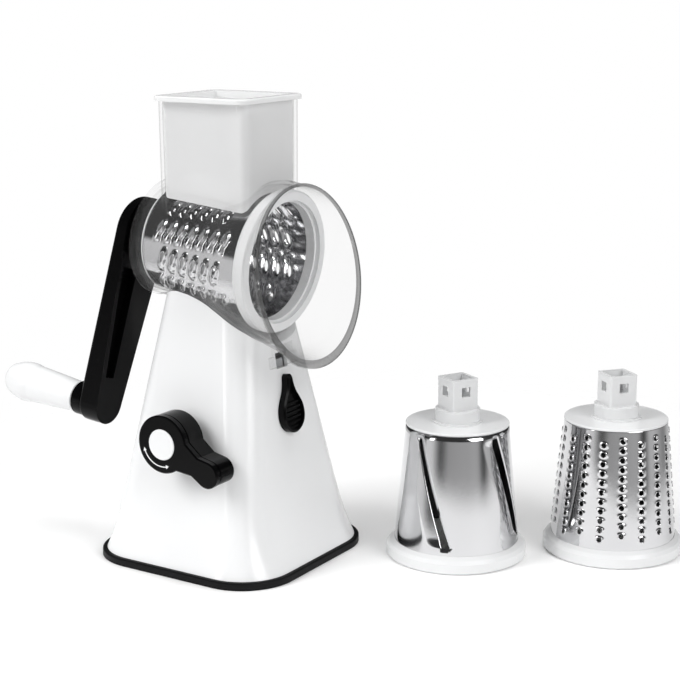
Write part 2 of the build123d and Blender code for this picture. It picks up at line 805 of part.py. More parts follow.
def crank_arm():
    inner, outer = arm_inner, arm_outer_end
    block = Pos(0, 0, outer) * extrude(arm_outline(), inner - outer)
    swing = degrees(atan((arm_outer_hub - outer) / arm_length))
    away = Box(3 * arm_length, 4 * arm_hub_radius, 40)
    away = Pos(0, 0, arm_outer_hub) * Rot(0, -swing, 0) * Pos(0, 0, -20) * away
    block -= away
    outer_edges = block.faces().sort_by(Axis.Z)[0].edges()
    block = fillet(outer_edges, arm_edge)
    block += disc(hub_boss_radius, inner, socket_mouth())
    block += disc(hub_dome_radius, hub_dome_outer, inner)
    side = arm_hub_radius - groove_edge
    side_end = arm_end_radius - groove_edge + 0.6
    channel = Polyline(
        (-groove_start, side - 1.5), (-groove_end, side_end),
        (-groove_end, side_end - groove_narrow), (-groove_start, side - 1.5 - groove_wide), close=True,
    )
    block -= Pos(0, 0, inner - groove_depth) * extrude(make_face(channel), groove_depth + 1)
    half = stub_half + socket_gap
    socket = Box(2 * half, 2 * half, socket_mouth() - socket_floor() + 1)
    block -= Rot(0, 0, arm_rest_angle) * Pos(0, 0, (socket_mouth() + socket_floor() + 1) / 2) * socket
    block -= disc(screw_shank + screw_bore_gap, hub_dome_outer - 5, socket_mouth())
    block -= disc(screw_head + 0.3, hub_dome_outer - 1, hub_dome_outer + 2.4)
    block -= Pos(-arm_length, 0, 0) * disc(pin_radius + 0.05, outer - 5, inner - 3)
    return on_arm(block)


def socket_mouth():
    return drum_seat - drum_length - drum_boss_height - fit_gap


def socket_floor():
    return drum_seat - drum_length - drum_boss_height - stub_height - fit_gap


def drive_plug():
    """Square plug inside the drum's stub, with catches that sit in its windows."""
    half = stub_half - stub_wall - plug_gap
    low, high = socket_floor() + 0.02, socket_mouth() - plug_tip
    plug = Pos(0, 0, (low + high) / 2) * Box(2 * half, 2 * half, high - low)
    plug = chamfer(plug.faces().sort_by(Axis.Z)[-1].edges(), 1.0)
    tip = drum_seat - drum_length - drum_boss_height - stub_height
    catch_at = tip + stub_window_from_tip + stub_window / 2
    catch = Box(stub_window - 0.8, 2 * half + 2.0, stub_window - 1.2)
    plug += Pos(0, 0, catch_at) * catch
    plug -= disc(screw_shank + 0.05, low - 1, low + 14)
    return on_axis(plug)


def crank_screw():
    screw = disc(screw_head, hub_dome_outer + 0.3, hub_dome_outer + 2.35)
    screw += disc(screw_shank, hub_dome_outer + 2.35, hub_dome_outer + 16)
    return on_axis(screw)


def grip_collar():
    collar = tube(collar_radius, pin_radius + 0.05, arm_outer_end - collar_length, arm_outer_end + 2.6)
    collar = collar & disc(collar_radius + 1, arm_outer_end - collar_length, arm_outer_end - 0.1)
    collar = chamfer(collar.edges().group_by(Axis.Z)[0], 0.6)
    return on_arm(Pos(-arm_length, 0, 0) * collar)


def grip_places():
    start = arm_outer_end - collar_length - grip_gap
    joint = start - grip_length
    return start, joint, joint - grip_cap_length


def grip_pin():
    _, joint, _ = grip_places()
    head_low = joint - pin_head_thickness - 2
    pin = disc(pin_radius, head_low, arm_inner - 3.1)
    pin += disc(pin_head_radius, head_low, head_low + pin_head_thickness)
    return on_arm(Pos(-arm_length, 0, 0) * pin)


def crank_grip():
    start, joint, _ = grip_places()
    bore = pin_radius + pin_bore_gap
    points = [
        (bore, start), (grip_start_radius - 0.8, start), (grip_start_radius, start - 0.8),
        (grip_end_radius, joint), (bore, joint),
    ]
    return on_arm(Pos(-arm_length, 0, 0) * turned(points))


def grip_end_cap():
    _, joint, end = grip_places()
    chamber = pin_head_radius + 0.6
    chamber_low = joint - pin_head_thickness - 3
    outline = [
        Line((chamber, 0, joint), (grip_end_radius, 0, joint)),
        Spline(
            (grip_end_radius, 0, joint), (grip_cap_radius, 0, joint - 8),
            (grip_cap_radius - 2.2, 0, joint - 17), (0, 0, end),
            tangents=[Vector(0.25, 0, -1), Vector(-1, 0, 0)],
        ),
        Polyline((0, 0, end), (0, 0, chamber_low), (chamber, 0, chamber_low), (chamber, 0, joint)),
    ]
    return on_arm(Pos(-arm_length, 0, 0) * revolve(make_face(outline), Axis.Z))


# ---- latch --------------------------------------------------------------------------------------------------
def latch_outline(inset=0.0):
    """Teardrop: round foot, hollow flanks and a narrow tip."""
    low, high = up_face(latch_low) + inset, up_face(latch_high) - inset
    tip, waist, wide = (h - inset for h in (latch_tip_half, latch_waist_half, latch_wide_half))
    shoulder, foot = (tip, high - tip), (wide, low + wide)
    middle = (waist, up_face(latch_high) - latch_waist_from_top)
    flank = Spline(shoulder, middle, foot, tangents=[(0.15, -1), (0, -1)])
    top = ThreePointArc((-tip, high - tip), (0, high), shoulder)
    bottom = ThreePointArc((-wide, low + wide), (0, low), foot)
    return make_face([top, flank, bottom, mirror(flank, Plane.YZ)])


def latch_button():
    """Teardrop slider with a raised rim round a ribbed thumb hollow."""
    pad = Pos(0, 0, fit_gap) * extrude(latch_outline(), latch_thickness)
    pad = chamfer(pad.faces().sort_by(Axis.Z)[-1].edges(), 1.0)
    hollow_depth = 2.4
    top = fit_gap + latch_thickness
    pad -= Pos(0, 0, top - hollow_depth) * extrude(latch_outline(latch_rim), hollow_depth + 1)
    low = up_face(latch_low) + latch_rim + 1.6
    for i in range(latch_ribs):
        at = low + i * 3.0
        rib = Pos(0, at, top - hollow_depth + 0.5) * Box(3 * latch_wide_half, 1.2, 1.6)
        pad += rib & (Pos(0, 0, fit_gap) * extrude(latch_outline(latch_rim / 2), latch_thickness))
    neck_low = up_face(latch_neck_low)
    neck = Pos(0, neck_low + latch_neck_height / 2, 0) * Box(
        2 * latch_neck_half, latch_neck_height, 2 * (shell_wall + latch_wall_gap)
    )
    neck = neck & (Pos(0, neck_low, 0) * Box(50, 50, 2 * (shell_wall + latch_wall_gap)))
    return on_latch_face(pad + neck)


def latch_bolt():
    """Sliding plate behind the wall; its top stands in front of the tongue's hook."""
    outer = -shell_wall - latch_wall_gap
    low = up_face(latch_neck_low) - 2
    high = up_face(tongue_low) + latch_overlap
    plate = Pos(0, (low + high) / 2, outer - latch_plate / 2 - 0.02) * Box(
        2 * window_half - 2, high - low, latch_plate
    )
    foot = Pos(0, low + 1, outer - 4) * Box(9, 2, 7.5)
    return on_latch_face(plate + foot)


def latch_spring():
    """Return spring under the latch bolt, closed to one solid coil of wire."""
    shelf = up_face(latch_neck_low) - latch_travel - 14
    top = up_face(latch_neck_low) - 2
    height = top - shelf - 2 * spring_wire - 0.2
    helix = Helix(height / spring_turns, height, spring_radius)
    start = helix @ 0
    section = Plane(origin=start, z_dir=helix % 0) * RegularPolygon(spring_wire, 6)
    coil = sweep(section, helix, is_frenet=True)
    place = Plane(
        origin=(0, shelf + spring_wire + 0.1, -shell_wall - latch_wall_gap - 4.4),
        x_dir=(1, 0, 0), z_dir=(0, 1, 0),
    )
    return on_latch_face(place.location * coil)


nodes = {
    "suction_pad": suction_pad(),
    "suction_membrane": suction_membrane(),
    "base_skirt": base_skirt(),
    "base_screws": base_screws(),
    "tower_shell": tower_shell(),
    "pull_stem": pull_stem(),
    "lock_axle": lock_axle(),
    "axle_clip": axle_clip(),
    "lock_cam": lock_cam(),
    "lock_lever": lock_lever(),
    "lever_screw": lever_screw(),
    "lever_cap": lever_cap(),
    "latch_button": latch_button(),
    "latch_bolt": latch_bolt(),
    "latch_spring": latch_spring(),
    "clear_housing": housing(),
    "rear_bushing": rear_bushing(),
    "food_pusher": food_pusher(),
    "coarse_drum_cone": fitted(coarse_cone()),
    "coarse_drum_ring": fitted(drum_ring()),
    "coarse_drum_end": fitted(drum_end()),
    "crank_arm": crank_arm(),
    "drive_plug": drive_plug(),
    "crank_screw": crank_screw(),
    "grip_collar": grip_collar(),
    "grip_pin": grip_pin(),
    "crank_grip": crank_grip(),
    "grip_end_cap": grip_end_cap(),
    "slicer_drum_cone": beside(slicer_cone(), slicer_place, slicer_turn),
    "slicer_drum_ring": beside(drum_ring(), slicer_place, slicer_turn),
    "slicer_drum_end": beside(drum_end(), slicer_place, slicer_turn),
    "fine_drum_cone": beside(fine_cone(), fine_place, fine_turn),
    "fine_drum_ring": beside(drum_ring(), fine_place, fine_turn),
    "fine_drum_end": beside(drum_end(), fine_place, fine_turn),
}

os.makedirs("parts", exist_ok=True)
for name, shape in nodes.items():
    export_step(shape, f"parts/{name}.step")
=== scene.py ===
"""Visual model of the hand cranked drum shredder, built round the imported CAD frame.

Everything is in metres in the frame's axes. Shapes worked out in millimetres go through MM.
"""
import json
import math

import bmesh
import bpy
from mathutils import Matrix, Vector


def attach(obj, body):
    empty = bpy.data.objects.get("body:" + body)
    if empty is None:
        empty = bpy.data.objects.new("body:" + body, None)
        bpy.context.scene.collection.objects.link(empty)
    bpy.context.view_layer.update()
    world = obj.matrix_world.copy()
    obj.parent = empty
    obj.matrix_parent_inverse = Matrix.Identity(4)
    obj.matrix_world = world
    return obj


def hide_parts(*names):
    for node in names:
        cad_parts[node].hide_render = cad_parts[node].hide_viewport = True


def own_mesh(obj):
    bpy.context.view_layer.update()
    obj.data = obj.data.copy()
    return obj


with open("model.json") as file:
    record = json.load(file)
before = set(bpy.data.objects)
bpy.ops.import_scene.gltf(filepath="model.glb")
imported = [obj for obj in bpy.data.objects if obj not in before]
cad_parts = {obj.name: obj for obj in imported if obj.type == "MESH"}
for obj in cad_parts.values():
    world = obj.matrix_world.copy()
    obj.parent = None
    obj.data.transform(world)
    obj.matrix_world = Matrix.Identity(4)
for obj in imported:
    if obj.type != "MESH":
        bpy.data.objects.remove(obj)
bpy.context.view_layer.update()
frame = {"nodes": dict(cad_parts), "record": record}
MM = 0.001

# ---- sizes that the new pieces share with the CAD, in millimetres ----
AXIS_HEIGHT = 195.7
AXIS_DIP = math.radians(5.65)
DRUM_SEAT = 45.0                # where the mouth of the fitted drum lies along the axis
SLICER_PLACE = (129.7, 66.9)
SLICER_TURN = math.radians(-28.5)
FINE_PLACE = (210.9, 129.3)
FINE_TURN = math.radians(-39.0)
CONE_LOW = 3.5                  # the steel wall starts this far from the drum's mouth
CONE_HIGH = 86.0
CONE_LOW_RADIUS = 40.3
CONE_HIGH_RADIUS = 32.7
COARSE_ROWS = 12
COARSE_COUNTS = (7, 6)          # holes in the even and in the odd rows
COARSE_PITCH = 8.6
COARSE_FIRST = 21.8
COARSE_SLANT = math.radians(-19.0)
COARSE_PHASE = math.radians(109.3)
FINE_ROWS = 18
FINE_COUNTS = (11, 11)
FINE_PITCH = 6.0
FINE_FIRST = 17.0
FINE_PHASE = 0.0
SLOT_COUNT = 4
SLOT_LOW = 15.0
SLOT_HIGH = 82.0
SLOT_TWIST = math.radians(-36.0)
SLOT_PHASE = math.radians(-60.5)
AXLE_HEIGHT = 85.3
KNOB_FRONT = 70.0               # distance of the lever's front face from the middle plane
RIM_AT = 64.1                   # centre of the funnel's rim: this far along the drum axis
RIM_DROP = 4.9                  # and this far below it
RIM_LEAN = math.radians(14.7)

# ---- sizes of the new pieces alone, in millimetres ----
SHEET_THICKNESS = 0.7
COARSE_HOLE_CENTRE = (2.3, -0.75)
COARSE_HOLE_HALF_LONG = 3.7
COARSE_HOLE_HALF_SHORT = 1.25
SCOOP_CENTRE = -4.3             # places of scoop and lips lie along the slant of the tooth
SCOOP_RADIUS = 3.1
SCOOP_HEIGHT = 2.0
LIP_CENTRE = 2.2
LIP_HALF_LONG = 4.4
LIP_HALF_SHORT = 2.0
LIP_HEIGHT = 1.9
LIP_FALL_START = 0.9            # shares of the lip's ellipse
LIP_FALL_WIDTH = 0.75
FINE_HOLE_RADIUS = 1.75
BURR_HEIGHT = 0.7
BURR_EVEN = 0.65                # share of the burr that is the same all round
BURR_UNEVEN = 0.35
BURR_PEAK = 0.3                 # where it is highest, in radians
BURR_FALL_WIDTH = 0.5           # in hole radii
HALF_SLOT = math.radians(4.0)
FLANK_DEPTH = 1.4               # how far the flank left of a slot is pressed in
FLANK_REACH = 3.5               # its width, in half slots
SLOT_END_FADE = 5.0
PRINT_LIFT = 0.03
ARROW_RADIUS = 13.9
ARROW_HALF_WIDTH = 0.35
ARROW_START = math.radians(203.0)
ARROW_END = math.radians(283.0)
ARROW_HEAD_HALF_WIDTH = 1.3
ARROW_HEAD_TURN = 0.16          # length of the head, in radians

# ---- meshing ----
MERGE_GAP = 0.00001             # metres
RING_SPREAD = 1.4               # rings lie closer together near a hole
LOW_BAND_STEPS = 6
HIGH_BAND_STEPS = 5
ARROW_STEPS = 40
CAD_CREASE = math.radians(30.0)
SHELL_CREASE = math.radians(50.0)

# ---- view of the photograph ----
PHOTO_WIDTH = 680.0             # pixels
FOCAL_LENGTH = 1625.86          # pixels
SENSOR_WIDTH = 36.0             # millimetres, as is the camera's place
CAMERA_PLACE = (602.99, -810.81, 364.47)
CAMERA_TURN = math.radians(32.61)
CAMERA_PITCH = math.radians(12.726)
CAMERA_ROLL = math.radians(0.236)

# ---- studio, in metres ----
FLOOR_CENTRE = (0.08, 0.04, -0.0002)
FLOOR_RADIUS = 0.55
FLOOR_SIDES = 96
FLOOR_FADE = (0.28, 0.5)        # distances from its centre over which the floor fades out
# Greys of the surround, each at a share of the turn that starts at -X and goes by way of -Y
SURROUND = [
    (0.0, 0.75), (0.12, 0.95), (0.18, 0.95), (0.215, 0.12), (0.245, 0.12),
    (0.28, 0.5), (0.40, 0.5), (0.45, 0.62), (0.475, 0.08), (0.50, 0.08),
    (0.53, 0.8), (0.60, 0.6), (0.66, 0.2), (0.72, 0.7), (1.0, 0.75),
]
SURROUND_STRENGTH = 0.85
SURROUND_TOP = 0.12             # by this height on the unit sphere it has turned dark
OVERHEAD = 0.05                 # grey above that

# ---- clear plastic ----
# Dark grey base: painted shade where the moulding turns dense along its edges, standing in for dark
# surroundings refracted there.
CLEAR_EDGE_SHADE_COLOUR = (0.30, 0.305, 0.31)
CLEAR_THIN = 0.035              # opacity where it is looked through squarely
CLEAR_EDGE = 0.85               # opacity where it is looked along
CLEAR_POWER = 4.0               # the higher, the narrower the dense edges
RIM_OPACITY = 0.7
RIM_PAINTED_SHADE_GREY = 0.05                 # painted shade: its dark base grey along the funnel's rim, standing in for dark surroundings refracted there
RIM_BAND = (1.2, 0.9)           # millimetres behind the rim's plane over which it turns dense


# ---- places ----
def axis_matrix():
    """From the drum axis's own axes (x up, y to the lever face, z to the mouth) to the frame's."""
    along = Vector((math.cos(AXIS_DIP), 0.0, -math.sin(AXIS_DIP)))
    up = Vector((math.sin(AXIS_DIP), 0.0, math.cos(AXIS_DIP)))
    side = along.cross(up)
    turn = Matrix((up, side, along)).transposed().to_4x4()
    return Matrix.Translation(Vector((0.0, 0.0, AXIS_HEIGHT)) * MM) @ turn


def fitted_matrix():
    """Place of the fitted drum, which is modelled standing on its mouth."""
    shift = Matrix.Translation(Vector((0.0, 0.0, DRUM_SEAT)) * MM)
    return axis_matrix() @ shift @ Matrix.Rotation(math.pi, 4, "Y")


def beside_matrix(place, turn):
    """Place of a drum that stands on the table."""
    shift = Matrix.Translation(Vector((*place, 0.0)) * MM)
    return shift @ Matrix.Rotation(turn, 4, "Z")


# ---- helpers ----
def steps(low, high, count):
    """Evenly spaced values from low to high, both included."""
    return [low + (high - low) * i / count for i in range(count + 1)]


def smoothstep(value):
    """Rises smoothly from 0 to 1 as the value does."""
    value = min(1.0, max(0.0, value))
    return value * value * (3 - 2 * value)


def grey(value):
    return (value, value, value, 1.0)


def add_node(tree, kind, **values):
    """Adds a shader node of a kind and sets its named inputs."""
    node = tree.nodes.new("ShaderNode" + kind)
    for socket, value in values.items():
        node.inputs[socket.replace("_", " ")].default_value = value
    return node


def add_math(tree, operation):
    node = add_node(tree, "Math")
    node.operation = operation
    return node


def add_object(name, data):
    obj = bpy.data.objects.new(name, data)
    bpy.context.scene.collection.objects.link(obj)
    return obj


def add_mesh_object(name, verts, faces):
    """Mesh object whose coinciding points are merged and whose faces look outwards."""
    mesh = bpy.data.meshes.new(name)
    mesh.from_pydata([tuple(v) for v in verts], [], faces)
    work = bmesh.new()
    work.from_mesh(mesh)
    bmesh.ops.remove_doubles(work, verts=work.verts, dist=MERGE_GAP)
    bmesh.ops.recalc_face_normals(work, faces=work.faces)
    work.to_mesh(mesh)
    work.free()
    return add_object(name, mesh)


def smooth_by_angle(obj, crease):
    """Smooth shading, with edges sharper than the crease left crisp."""
    obj.data.shade_smooth()
    obj.data.set_sharp_from_angle(angle=crease)


# ---- camera, lights, floor ----
def add_camera():
    """Camera at the photograph's viewing angle."""
    data = bpy.data.cameras.new("camera")
    data.sensor_width = SENSOR_WIDTH
    data.lens = SENSOR_WIDTH * FOCAL_LENGTH / PHOTO_WIDTH
    data.clip_start = 0.01
    data.clip_end = 50.0
    camera = add_object("camera", data)
    level = math.cos(CAMERA_PITCH)
    forward = Vector(
        (-math.sin(CAMERA_TURN) * level, math.cos(CAMERA_TURN) * level, -math.sin(CAMERA_PITCH))
    )
    right = Vector((math.cos(CAMERA_TURN), math.sin(CAMERA_TURN), 0.0))
    up = right.cross(forward)
    cos_r, sin_r = math.cos(CAMERA_ROLL), math.sin(CAMERA_ROLL)
    right, up = right * cos_r - up * sin_r, up * cos_r + right * sin_r
    axes = Matrix((right, up, -forward)).transposed().to_4x4()
    camera.matrix_world = Matrix.Translation(Vector(CAMERA_PLACE) * MM) @ axes
    bpy.context.scene.camera = camera


def add_area_light(name, place, target, size, power, glossy=True):
    """Rectangular light aimed at a target; one that isn't glossy leaves no reflection."""
    data = bpy.data.lights.new(name, "AREA")
    data.shape = "RECTANGLE"
    data.size, data.size_y = size
    data.energy = power
    light = add_object(name, data)
    light.location = place
    light.rotation_euler = (Vector(target) - Vector(place)).to_track_quat("-Z", "Y").to_euler()
    light.visible_glossy = glossy


def add_lights():
    """Key from the front left, fill from the right, top light, and a strip the steel mirrors."""
    add_area_light(
        "key", place=(-1.3, -1.6, 1.7), target=(0.02, 0.0, 0.12), size=(1.4, 1.4), power=48.0,
        glossy=False,
    )
    add_area_light(
        "fill", place=(2.2, -0.6, 1.2), target=(0.05, 0.0, 0.12), size=(1.2, 1.6), power=32.0,
    )
    add_area_light(
        "top", place=(0.0, 0.4, 2.2), target=(0.05, 0.0, 0.12), size=(1.6, 1.6), power=29.0,
        glossy=False,
    )
    add_area_light(
        "glint", place=(-0.75, -1.6, 0.55), target=(0.0, 0.0, 0.2), size=(0.3, 0.9), power=4.5,
    )


def surround_ramp(tree):
    """Colour ramp with the greys of the surround."""
    node = add_node(tree, "ValToRGB")
    ramp = node.color_ramp
    ramp.interpolation = "B_SPLINE"
    while len(ramp.elements) < len(SURROUND):
        ramp.elements.new(0.5)
    for element, (place, value) in zip(ramp.elements, SURROUND):
        element.position = place
        element.color = grey(value)
    return node


def add_world():
    """Studio surround: a ring of pale and dark cards that the steel mirrors, dark overhead.

    The camera itself sees plain white.
    """
    world = bpy.data.worlds.new("studio")
    bpy.context.scene.world = world
    world.use_nodes = True
    tree = world.node_tree
    tree.nodes.clear()
    output = add_node(tree, "OutputWorld")
    mirrored = add_node(tree, "Background", Strength=SURROUND_STRENGTH)
    plain = add_node(tree, "Background", Color=grey(1.0), Strength=1.0)
    coords = add_node(tree, "TexCoord")
    split = add_node(tree, "SeparateXYZ")
    angle = add_math(tree, "ARCTAN2")
    share = add_node(tree, "MapRange", From_Min=-math.pi, From_Max=math.pi)
    ring = surround_ramp(tree)
    height = add_node(tree, "MapRange", From_Min=0.0, From_Max=SURROUND_TOP)
    mix = add_node(tree, "Mix")
    mix.data_type = "RGBA"
    mix.inputs["B"].default_value = grey(OVERHEAD)
    ray = add_node(tree, "LightPath")
    choose = add_node(tree, "MixShader")
    link = tree.links.new
    link(coords.outputs["Generated"], split.inputs[0])
    link(split.outputs["Y"], angle.inputs[0])
    link(split.outputs["X"], angle.inputs[1])
    link(angle.outputs[0], share.inputs["Value"])
    link(share.outputs[0], ring.inputs["Fac"])
    link(split.outputs["Z"], height.inputs["Value"])
    link(height.outputs[0], mix.inputs["Factor"])
    link(ring.outputs["Color"], mix.inputs["A"])
    link(mix.outputs["Result"], mirrored.inputs["Color"])
    link(ray.outputs["Is Camera Ray"], choose.inputs["Fac"])
    link(mirrored.outputs[0], choose.inputs[1])
    link(plain.outputs[0], choose.inputs[2])
    link(choose.outputs[0], output.inputs["Surface"])


def floor_material():
    """White table top that fades out towards its rim."""
    material = bpy.data.materials.new("floor_white")
    material.use_nodes = True
    tree = material.node_tree
    shader = tree.nodes["Principled BSDF"]
    shader.inputs["Base Color"].default_value = grey(1.0)
    shader.inputs["Roughness"].default_value = 0.8
    shader.inputs["Specular IOR Level"].default_value = 0.1
    coords = add_node(tree, "TexCoord")
    reach = add_node(tree, "VectorMath")
    reach.operation = "LENGTH"
    fade = add_node(
        tree, "MapRange", From_Min=FLOOR_FADE[0], From_Max=FLOOR_FADE[1], To_Min=1.0, To_Max=0.0
    )
    fade.interpolation_type = "SMOOTHSTEP"
    link = tree.links.new
    link(coords.outputs["Object"], reach.inputs[0])
    link(reach.outputs["Value"], fade.inputs["Value"])
    link(fade.outputs[0], shader.inputs["Alpha"])
    return material


def add_floor():
    """Round pale table top that the object stands on."""
    mesh = bpy.data.meshes.new("floor")
    turns = [2 * math.pi * i / FLOOR_SIDES for i in range(FLOOR_SIDES)]
    corners = [(FLOOR_RADIUS * math.cos(t), FLOOR_RADIUS * math.sin(t), 0.0) for t in turns]
    mesh.from_pydata(corners, [], [list(range(FLOOR_SIDES))])
    mesh.materials.append(floor_material())
    floor = add_object("floor", mesh)
    floor.location = FLOOR_CENTRE


# ---- materials ----
def surface(name, colour, roughness, grain_size, grain, bump, **sockets):
    """Moulded or metal surface: colour, and a roughness and fine bump that vary over it."""
    material = bpy.data.materials.new(name)
    material.use_nodes = True
    tree = material.node_tree
    shader = tree.nodes["Principled BSDF"]
    shader.inputs["Base Color"].default_value = (*colour, 1.0)
    for socket, value in sockets.items():
        shader.inputs[socket.replace("_", " ")].default_value = value
    coords = add_node(tree, "TexCoord")
    noise = add_node(tree, "TexNoise", Scale=1.0 / grain_size, Detail=4.0)
    spread = add_node(tree, "MapRange", To_Min=roughness - grain, To_Max=roughness + grain)
    relief = add_node(tree, "Bump", Strength=bump, Distance=0.0001)
    link = tree.links.new
    link(coords.outputs["Object"], noise.inputs["Vector"])
    link(noise.outputs["Fac"], spread.inputs["Value"])
    link(spread.outputs[0], shader.inputs["Roughness"])
    link(noise.outputs["Fac"], relief.inputs["Height"])
    link(relief.outputs[0], shader.inputs["Normal"])
    return material


def clear_plastic():
    """Clear moulding: see-through where looked through squarely, denser along edges and rim, where its
    dark grey is painted shade standing in for dark surroundings refracted there.
    """
    material = surface(
        "clear_styrene", CLEAR_EDGE_SHADE_COLOUR, roughness=0.03, grain_size=0.004, grain=0.01, bump=0.02,
        IOR=2.6,
    )
    tree = material.node_tree
    shader = tree.nodes["Principled BSDF"]
    facing = add_node(tree, "LayerWeight", Blend=0.5)
    narrow = add_math(tree, "POWER")
    narrow.inputs[1].default_value = CLEAR_POWER
    spread = add_node(tree, "MapRange", To_Min=CLEAR_THIN, To_Max=CLEAR_EDGE)
    normal = axis_matrix().to_3x3() @ Vector((math.sin(RIM_LEAN), 0.0, math.cos(RIM_LEAN)))
    rim_plane = normal.dot(axis_matrix() @ (Vector((-RIM_DROP, 0.0, RIM_AT)) * MM))
    coords = add_node(tree, "TexCoord")
    along = add_node(tree, "VectorMath")
    along.operation = "DOT_PRODUCT"
    along.inputs[1].default_value = normal
    rim = add_node(
        tree, "MapRange", From_Min=rim_plane - RIM_BAND[0] * MM, From_Max=rim_plane - RIM_BAND[1] * MM,
        To_Max=RIM_OPACITY,
    )
    # Painted shade: the base grey turns from the clear grey to the rim's dark grey across the band
    # behind the rim's plane.
    rim_painted_shade = add_node(
        tree, "MapRange", From_Max=RIM_OPACITY, To_Min=CLEAR_EDGE_SHADE_COLOUR[0], To_Max=RIM_PAINTED_SHADE_GREY
    )
    denser = add_math(tree, "MAXIMUM")
    link = tree.links.new
    link(facing.outputs["Facing"], narrow.inputs[0])
    link(narrow.outputs[0], spread.inputs["Value"])
    link(coords.outputs["Object"], along.inputs[0])
    link(along.outputs["Value"], rim.inputs["Value"])
    link(spread.outputs[0], denser.inputs[0])
    link(rim.outputs[0], denser.inputs[1])
    link(rim.outputs[0], rim_painted_shade.inputs["Value"])
    link(rim_painted_shade.outputs[0], shader.inputs["Base Color"])
    link(denser.outputs[0], shader.inputs["Alpha"])
    return material


def make_materials():
    """A material for each slot of the CAD record, and a darker steel for the inner side of the loose
    drums, painted shade.
    """
    return {
        "white_plastic": surface(
            "white_abs", (0.86, 0.865, 0.87), roughness=0.22, grain_size=0.004, grain=0.05, bump=0.06,
        ),
        "drum_white": surface(
            "drum_abs", (0.80, 0.805, 0.81), roughness=0.25, grain_size=0.004, grain=0.05, bump=0.05,
        ),
        "black_rubber": surface(
            "suction_rubber", (0.006, 0.006, 0.0065), roughness=0.5, grain_size=0.0015, grain=0.08,
            bump=0.25, Specular_IOR_Level=0.14,
        ),
        "black_plastic": surface(
            "black_abs", (0.002, 0.002, 0.0022), roughness=0.17, grain_size=0.004, grain=0.05,
            bump=0.05, Specular_IOR_Level=0.1,
        ),
        "works_plastic": surface(
            "works_acetal", (0.7, 0.7, 0.68), roughness=0.4, grain_size=0.003, grain=0.06, bump=0.08,
        ),
        "grey_plastic": surface(
            "grey_acetal", (0.35, 0.36, 0.37), roughness=0.35, grain_size=0.003, grain=0.06, bump=0.08,
        ),
        "drum_steel": surface(
            "drum_steel", (0.66, 0.66, 0.67), roughness=0.10, grain_size=0.0012, grain=0.035,
            bump=0.03, Metallic=1.0,
        ),
        # Painted shade: darker steel for the inner side of the loose drums, where their hollow lies in
        # shade.
        "painted_shade_steel": surface(
            "drum_steel_painted_shade", (0.10, 0.10, 0.10), roughness=0.4, grain_size=0.0012, grain=0.05,
            bump=0.03, Metallic=1.0,
        ),
        "screw_steel": surface(
            "screw_steel", (0.60, 0.60, 0.62), roughness=0.28, grain_size=0.001, grain=0.08,
            bump=0.10, Metallic=1.0,
        ),
        "spring_steel": surface(
            "spring_steel", (0.55, 0.55, 0.57), roughness=0.3, grain_size=0.001, grain=0.08,
            bump=0.10, Metallic=1.0,
        ),
        "clear_plastic": clear_plastic(),
        "pusher_plastic": surface(
            "frosted_pusher", (0.97, 0.972, 0.975), roughness=0.18, grain_size=0.003, grain=0.05,
            bump=0.05, Alpha=0.7,
        ),
    }


def dress_cad(materials):
    """Gives each CAD node its material slot's material and smooth shading."""
    slots = {entry["node"]: entry["material_slot"] for entry in frame["record"]["subparts"]}
    for name, node in frame["nodes"].items():
        node.data.materials.clear()
        node.data.materials.append(materials[slots[name]])
        smooth_by_angle(node, CAD_CREASE)


# ---- drum shells ----
def cone_radius(height):
    share = (height - CONE_LOW) / (CONE_HIGH - CONE_LOW)
    return CONE_LOW_RADIUS - share * (CONE_LOW_RADIUS - CONE_HIGH_RADIUS)


def cone_point(turn, height, rise):
    """Point on a drum's wall in the drum's own frame, in metres."""
    radius = cone_radius(height) + rise
    return Vector((radius * math.cos(turn), radius * math.sin(turn), height)) * MM


class Sheet:
    """Collects the quads of a cone's wall, given in turn (radians), height and rise (mm)."""

    def __init__(self):
        self.verts = []
        self.faces = []

    def add(self, turn, height, rise=0.0):
        self.verts.append(cone_point(turn, height, rise))
        return len(self.verts) - 1

    def grid(self, turns, heights):
        """Plain patch."""
        rows = [[self.add(t, h) for t in turns] for h in heights]
        for low, high in zip(rows, rows[1:]):
            for i in range(len(turns) - 1):
                self.faces.append((low[i], low[i + 1], high[i + 1], high[i]))

    def cell(self, middle, half_turn, low, pitch, hole, rise, rings, side):
        """Cell with a hole: rings of quads from the hole's edge out to the cell's rectangle."""
        centre = low + pitch / 2
        radius = cone_radius(centre)
        half_width = half_turn * radius
        border = []
        for edge in range(4):
            for i in range(side):
                share = -1 + 2 * i / side
                corner = [(share, -1), (1, share), (-share, 1), (-1, -share)][edge]
                border.append((corner[0] * half_width, corner[1] * pitch / 2))
        previous = None
        for ring in range(rings + 1):
            share = (ring / rings) ** RING_SPREAD
            row = []
            for x, y in border:
                hx, hy = hole(x, y)
                px, py = hx + (x - hx) * share, hy + (y - hy) * share
                lift = rise(px, py) if ring < rings else 0.0
                row.append(self.add(middle + px / radius, centre + py, lift))
            if previous:
                for i in range(len(border)):
                    j = (i + 1) % len(border)
                    self.faces.append((previous[i], previous[j], row[j], row[i]))
            previous = row


def ellipse_edge(centre, half_long, half_short, slant):
    """Function from a border point to the point of a slanted ellipse that faces it."""
    cos_s, sin_s = math.cos(slant), math.sin(slant)

    def edge(x, y):
        dx, dy = x - centre[0], y - centre[1]
        along, across = dx * cos_s + dy * sin_s, -dx * sin_s + dy * cos_s
        angle = math.atan2(across / half_short, along / half_long)
        ex, ey = half_long * math.cos(angle), half_short * math.sin(angle)
        return centre[0] + ex * cos_s - ey * sin_s, centre[1] + ex * sin_s + ey * cos_s

    return edge


